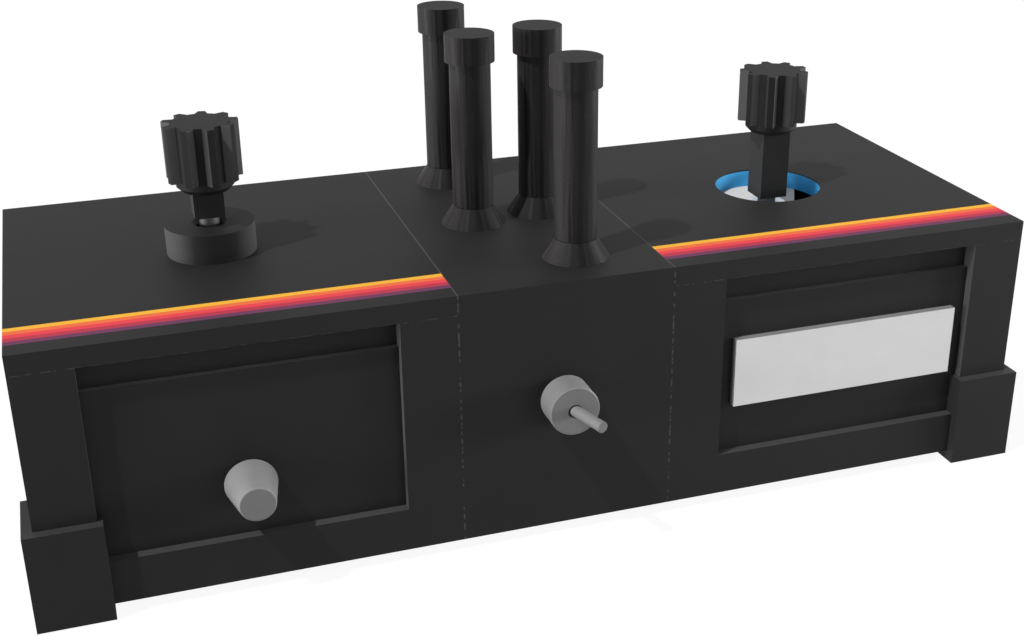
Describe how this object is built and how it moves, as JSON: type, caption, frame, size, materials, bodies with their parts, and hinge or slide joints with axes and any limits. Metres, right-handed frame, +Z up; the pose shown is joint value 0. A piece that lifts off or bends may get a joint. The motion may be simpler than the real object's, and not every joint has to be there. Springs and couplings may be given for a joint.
{
  "type": "video tape cleaner",
  "caption": "Tabletop video tape cleaner: geared motor spindles with ribbed crowns, upright tape guides, a speed knob and a direction lever on a modular black case.",
  "frame": {"origin": "middle of the bounding box at floor level, under the feet", "axes": "+X along the row of modules to the right as seen from the front, +Y from the front to the back, +Z up"},
  "size_m": [0.26, 0.1204, 0.1187],
  "materials": {
    "black_shell": "matte printed plastic",
    "black_top": "matte printed plastic",
    "black_spindle": "matte printed plastic",
    "black_guide": "matte printed plastic",
    "black_foot": "matte printed plastic",
    "white_cover": "matte",
    "blue_liner": "satin",
    "pale_plate": "matte",
    "grey_knob": "satin",
    "grey_switch": "satin",
    "steel": "satin",
    "brass": "satin",
    "motor_can": "plain",
    "dark_gear": "matte",
    "green_board": "satin",
    "inlet_black": "gloss",
    "purple_band": "satin",
    "crimson_band": "satin",
    "red_band": "satin",
    "orange_band": "satin",
    "yellow_band": "satin"
  },
  "bodies": {
    "base": {"base_screws": "steel", "board_parts": "dark_gear", "centre_base_plate": "black_shell", "centre_housing": "black_shell", "control_board": "green_board", "crimson_stripe": "crimson_band", "direction_switch": "dark_gear", "drive_screws": "steel", "front_guide_cap": "black_guide", "front_guide_post": "black_guide", "front_left_foot": "black_foot", "front_plate": "pale_plate", "front_right_foot": "black_foot", "joining_screws": "steel", "left_base_plate": "black_shell", "left_drive_cover": "white_cover", "left_guide_cap": "black_guide", "left_guide_post": "black_guide", "left_housing": "black_shell", "left_lid": "black_top", "left_motor": "motor_can", "left_motor_bracket": "black_shell", "orange_stripe": "orange_band", "panel_nuts": "steel", "potentiometer": "motor_can", "power_inlet": "inlet_black", "purple_stripe": "purple_band", "rear_guide_cap": "black_guide", "rear_guide_post": "black_guide", "rear_left_foot": "black_foot", "rear_right_foot": "black_foot", "red_stripe": "red_band", "right_base_plate": "black_shell", "right_drive_cover": "white_cover", "right_guide_cap": "black_guide", "right_guide_post": "black_guide", "right_housing": "black_shell", "right_lid": "black_top", "right_motor": "motor_can", "right_motor_bracket": "black_shell", "spindle_bearings": "steel", "spindle_collar": "black_spindle", "switch_nut": "grey_switch", "well_liner": "blue_liner", "yellow_stripe": "yellow_band"},
    "left_spindle": {"left_spindle_head": "black_spindle", "left_axle": "steel", "left_spindle_gear": "dark_gear"},
    "left_rotor": {"left_motor_pinion": "brass"},
    "right_spindle": {"right_spindle_head": "black_spindle", "right_axle": "steel", "right_spindle_gear": "dark_gear"},
    "right_rotor": {"right_motor_pinion": "brass"},
    "front_roller": {"front_guide_roller": "black_guide"},
    "left_roller": {"left_guide_roller": "black_guide"},
    "right_roller": {"right_guide_roller": "black_guide"},
    "rear_roller": {"rear_guide_roller": "black_guide"},
    "knob": {"speed_knob": "grey_knob", "potentiometer_shaft": "steel"},
    "lever": {"direction_lever": "grey_switch"}
  },
  "joints": [
    {"name": "left_spindle_spin", "type": "hinge", "parent": "base", "child": "left_spindle", "pos_m": [-0.0775, 0.00766, 0.06875], "axis": [0, 0, 1], "continuous": true},
    {"name": "left_motor_spin", "type": "hinge", "parent": "base", "child": "left_rotor", "pos_m": [-0.09877, 0.01877, 0.04875], "axis": [0, 0, 1], "continuous": true},
    {"name": "right_spindle_spin", "type": "hinge", "parent": "base", "child": "right_spindle", "pos_m": [0.0775, 0.00766, 0.06875], "axis": [0, 0, 1], "continuous": true},
    {"name": "right_motor_spin", "type": "hinge", "parent": "base", "child": "right_rotor", "pos_m": [0.05623, 0.01877, 0.04875], "axis": [0, 0, 1], "continuous": true},
    {"name": "front_roller_spin", "type": "hinge", "parent": "base", "child": "front_roller", "pos_m": [0.0073, -0.02654, 0.09375], "axis": [0, 0, 1], "continuous": true},
    {"name": "left_roller_spin", "type": "hinge", "parent": "base", "child": "left_roller", "pos_m": [-0.0096, 0.00596, 0.09375], "axis": [0, 0, 1], "continuous": true},
    {"name": "right_roller_spin", "type": "hinge", "parent": "base", "child": "right_roller", "pos_m": [0.0096, 0.00936, 0.09375], "axis": [0, 0, 1], "continuous": true},
    {"name": "rear_roller_spin", "type": "hinge", "parent": "base", "child": "rear_roller", "pos_m": [-0.0073, 0.04186, 0.09375], "axis": [0, 0, 1], "continuous": true},
    {"name": "speed_knob_turn", "type": "hinge", "parent": "base", "child": "knob", "pos_m": [-0.0783, -0.03984, 0.02735], "axis": [0, -1, 0], "range_deg": [-150, 150]},
    {"name": "direction_lever_throw", "type": "hinge", "parent": "base", "child": "lever", "pos_m": [-0.001, -0.04904, 0.03775], "axis": [0, 0, 1], "range_deg": [-34.6, 0]}
  ],
  "couplings": [
    {"joint": "left_motor_spin", "follows": "left_spindle_spin", "ratio": -4},
    {"joint": "right_motor_spin", "follows": "right_spindle_spin", "ratio": -4}
  ]
}
